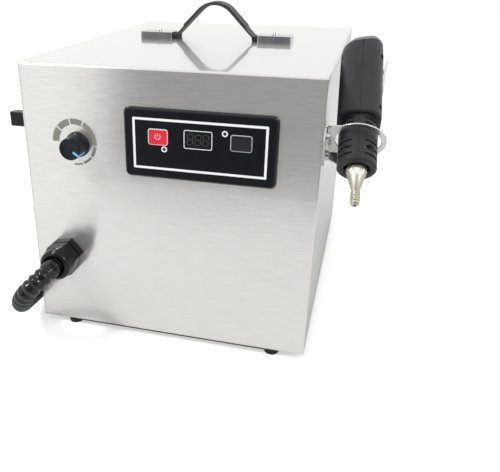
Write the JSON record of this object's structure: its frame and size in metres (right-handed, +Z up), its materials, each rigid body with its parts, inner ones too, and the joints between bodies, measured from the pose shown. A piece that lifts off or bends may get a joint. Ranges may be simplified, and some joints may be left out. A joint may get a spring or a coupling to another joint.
{
  "type": "jewelry steam cleaner",
  "caption": "Bench steam cleaner: brushed steel cabinet with control panel, knob, strap handle and a steam gun on a ribbed hose, hung in a ring at the side.",
  "frame": {"origin": "on the table, at the middle of the footprint of the whole part without its hose", "axes": "+X to the right seen from the front, +Y from the front to the back, +Z up"},
  "size_m": [0.3916, 0.5489, 0.3384],
  "materials": {
    "brushed_steel": "horizontal grain",
    "bright_steel": "bright",
    "zinc_steel": "plated",
    "foot_rubber": "matt",
    "strap_plastic": "satin, ribbed",
    "cap_chrome": "plated",
    "bezel_plastic": "gloss",
    "overlay_film": "gloss",
    "white_print": "printed",
    "grey_print": "printed",
    "window_tint": "tinted",
    "module_black": "matt",
    "button_red": "gloss",
    "button_dark": "gloss",
    "led_clear": "clear",
    "board_green": "solder mask",
    "knob_black": "satin",
    "pointer_blue": "painted",
    "gland_nylon": "satin nylon",
    "seal_rubber": "matt",
    "hose_black": "gloss, ribbed",
    "gun_plastic": "satin",
    "gun_cap_plastic": "satin",
    "lever_metal": "satin",
    "spring_steel": "wire",
    "brass": "machined",
    "copper_pipe": "drawn",
    "nickel": "nickel plated",
    "valve_black": "moulded"
  },
  "bodies": {
    "cabinet": {"front_top_panel": "brushed_steel", "left_panel": "brushed_steel", "right_panel": "brushed_steel", "rear_panel": "brushed_steel", "base_plate": "brushed_steel", "panel_screws": "zinc_steel", "feet": "foot_rubber", "foot_screws": "zinc_steel", "strap_band": "strap_plastic", "strap_grip": "strap_plastic", "strap_caps": "cap_chrome", "strap_screws": "bright_steel", "panel_bezel": "bezel_plastic", "panel_overlay": "overlay_film", "panel_print": "white_print", "display_window": "window_tint", "display_module": "module_black", "status_leds": "led_clear", "control_board": "board_green", "knob_scale": "grey_print", "potentiometer": "zinc_steel", "pot_nut": "zinc_steel", "gland_body": "gland_nylon", "gland_nut": "gland_nylon", "gland_seal": "seal_rubber", "gland_locknut": "gland_nylon", "hose_run": "hose_black", "hose_peg": "knob_black", "holder_bracket": "bright_steel", "holder_bolts": "bright_steel", "holder_nuts": "zinc_steel", "boiler_tank": "brushed_steel", "tank_brackets": "zinc_steel", "boiler_heater": "zinc_steel", "safety_valve": "brass", "solenoid_valve": "valve_black", "steam_pipe": "copper_pipe", "power_board": "board_green", "mains_inlet": "valve_black", "filler_neck": "brushed_steel", "drain_plug": "brass"},
    "knob": {"knob": "knob_black", "knob_pointer": "pointer_blue", "pot_shaft": "zinc_steel"},
    "power_button": {"power_button": "button_red"},
    "steam_button": {"steam_button": "button_dark"},
    "gun": {"gun_shell_left": "gun_plastic", "gun_shell_right": "gun_plastic", "gun_end_cap": "gun_cap_plastic", "gun_screws": "zinc_steel", "lever_pin": "zinc_steel", "lever_spring": "spring_steel", "gun_valve": "brass", "steam_tube": "copper_pipe", "nozzle_collar": "nickel", "nozzle": "nickel", "hose_collar": "valve_black", "hose_riser": "hose_black"},
    "steam_lever": {"steam_lever": "lever_metal"},
    "filler_cap": {"filler_cap": "knob_black"}
  },
  "joints": [
    {"name": "knob_turn", "type": "hinge", "parent": "cabinet", "child": "knob", "pos_m": [-0.111, -0.2035, 0.2165], "axis": [0, -1, 0], "range_deg": [-45, 225]},
    {"name": "power_button_press", "type": "slide", "parent": "cabinet", "child": "power_button", "axis": [0, 1, 0], "range_m": [0, 0.001], "stiffness_N_per_m": 400, "springref_m": -0.002},
    {"name": "steam_button_press", "type": "slide", "parent": "cabinet", "child": "steam_button", "axis": [0, 1, 0], "range_m": [0, 0.001], "stiffness_N_per_m": 400, "springref_m": -0.002},
    {"name": "gun_lift", "type": "slide", "parent": "cabinet", "child": "gun", "axis": [0, 0.788, 0.6157], "range_m": [0, 0.08], "deforming": ["hose_riser"]},
    {"name": "steam_lever_squeeze", "type": "hinge", "parent": "gun", "child": "steam_lever", "pos_m": [0.17545, -0.12339, 0.27369], "axis": [0, -0.6157, 0.788], "range_deg": [0, 3.5], "stiffness_Nm_per_rad": 0.5, "springref_deg": -5.73},
    {"name": "filler_cap_off", "type": "slide", "parent": "cabinet", "child": "filler_cap", "axis": [0, 1, 0], "range_m": [0, 0.03]}
  ]
}
